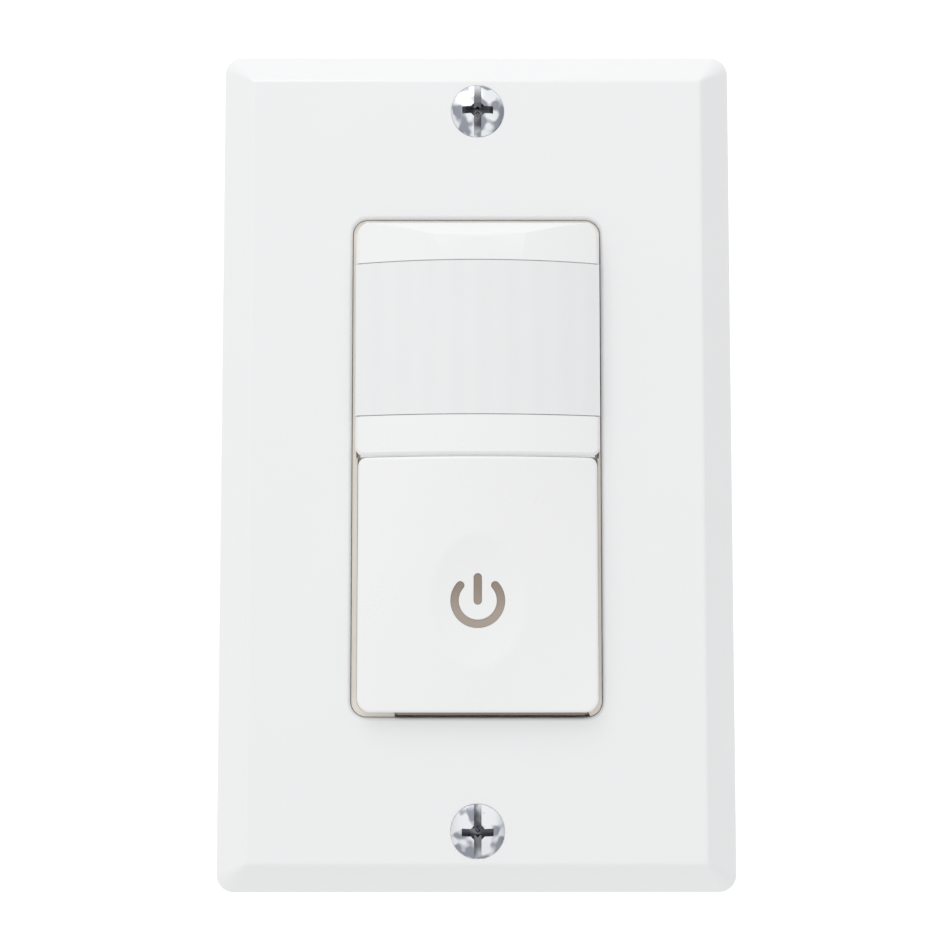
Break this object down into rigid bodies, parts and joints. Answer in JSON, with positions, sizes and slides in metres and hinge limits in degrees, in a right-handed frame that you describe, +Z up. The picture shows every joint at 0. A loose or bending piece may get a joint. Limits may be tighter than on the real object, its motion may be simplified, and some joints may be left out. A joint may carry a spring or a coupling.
{
  "type": "motion sensor light switch",
  "caption": "Wall switch with a milky motion sensor lens above a bowed push paddle, in a bevelled cover plate, with its strap, boards, relay and wire terminals.",
  "frame": {"origin": "middle of the device on the wall plane, halfway between the two box screws", "axes": "+X right and +Z up as the user sees it, +Y into the wall; the front faces -Y"},
  "size_m": [0.0699, 0.0434, 0.1142],
  "materials": {
    "plate_white": "smooth semi-gloss moulding",
    "device_white": "smooth semi-gloss moulding",
    "milky_lens": "milky translucent sheet",
    "smoky_guide": "smoky translucent",
    "frame_cream": "plain moulding",
    "bright_zinc": "bright zinc plate",
    "strap_zinc": "zinc plated sheet",
    "fibre": "vulcanised fibre",
    "spring_steel": "drawn wire",
    "board_green": "solder mask",
    "sensor_can": "plated can",
    "clear_epoxy": "clear epoxy",
    "led_green": "tinted epoxy",
    "black_plastic": "moulded",
    "plunger_grey": "moulded",
    "trimmer_blue": "moulded",
    "dial_white": "moulded",
    "relay_blue": "moulded case",
    "film_yellow": "moulded case",
    "can_sleeve": "shrunk sleeve",
    "ferrite": "ferrite and sleeve",
    "varistor_blue": "dipped epoxy",
    "resistor_green": "cement coat",
    "housing_grey": "fine moulded texture",
    "brass": "plain brass",
    "tin": "tin plate",
    "ground_green": "green dyed zinc"
  },
  "bodies": {
    "device": {"wall_plate": "plate_white", "plate_screws": "bright_zinc", "mounting_strap": "strap_zinc", "box_screws": "bright_zinc", "screw_washers": "fibre", "front_frame": "frame_cream", "sensor_bezel": "device_white", "sensor_lens": "milky_lens", "paddle_springs": "spring_steel", "sensor_board": "board_green", "pir_sensor": "sensor_can", "daylight_sensor": "clear_epoxy", "indicator_led": "led_green", "tact_switch": "black_plastic", "trimmer_bodies": "trimmer_blue", "controller_chip": "black_plastic", "sensor_hood": "black_plastic", "board_header": "black_plastic", "main_board": "board_green", "relay": "relay_blue", "film_capacitor": "film_yellow", "filter_capacitors": "can_sleeve", "choke": "ferrite", "varistor": "varistor_blue", "fuse_resistor": "resistor_green", "rear_housing": "housing_grey", "housing_screws": "bright_zinc", "line_terminals": "brass", "line_screws": "brass", "neutral_terminal": "tin", "neutral_screw": "tin", "ground_terminal": "ground_green", "ground_screw": "ground_green"},
    "paddle": {"push_button": "device_white", "light_guide": "smoky_guide"},
    "plunger": {"switch_plunger": "plunger_grey"},
    "time_knob": {"time_dial": "dial_white"},
    "range_knob": {"range_dial": "dial_white"},
    "light_knob": {"light_dial": "dial_white"}
  },
  "joints": [
    {"name": "paddle_press", "type": "hinge", "parent": "device", "child": "paddle", "pos_m": [0, -0.002, -0.002], "axis": [1, 0, 0], "range_deg": [0, 1.9], "stiffness_Nm_per_rad": 0.135, "springref_deg": -2.86, "deforming": ["paddle_springs"]},
    {"name": "plunger_slide", "type": "slide", "parent": "device", "child": "plunger", "axis": [0, 1, 0], "range_m": [0, 0.0003]},
    {"name": "time_dial_turn", "type": "hinge", "parent": "device", "child": "time_knob", "pos_m": [-0.0095, 0, -0.024], "axis": [0, 1, 0], "range_deg": [-135, 135]},
    {"name": "range_dial_turn", "type": "hinge", "parent": "device", "child": "range_knob", "pos_m": [0, 0, -0.024], "axis": [0, 1, 0], "range_deg": [-135, 135]},
    {"name": "light_dial_turn", "type": "hinge", "parent": "device", "child": "light_knob", "pos_m": [0.0095, 0, -0.024], "axis": [0, 1, 0], "range_deg": [-135, 135]}
  ],
  "couplings": [
    {"joint": "plunger_slide", "follows": "paddle_press", "m_per_rad": 0.0075}
  ]
}
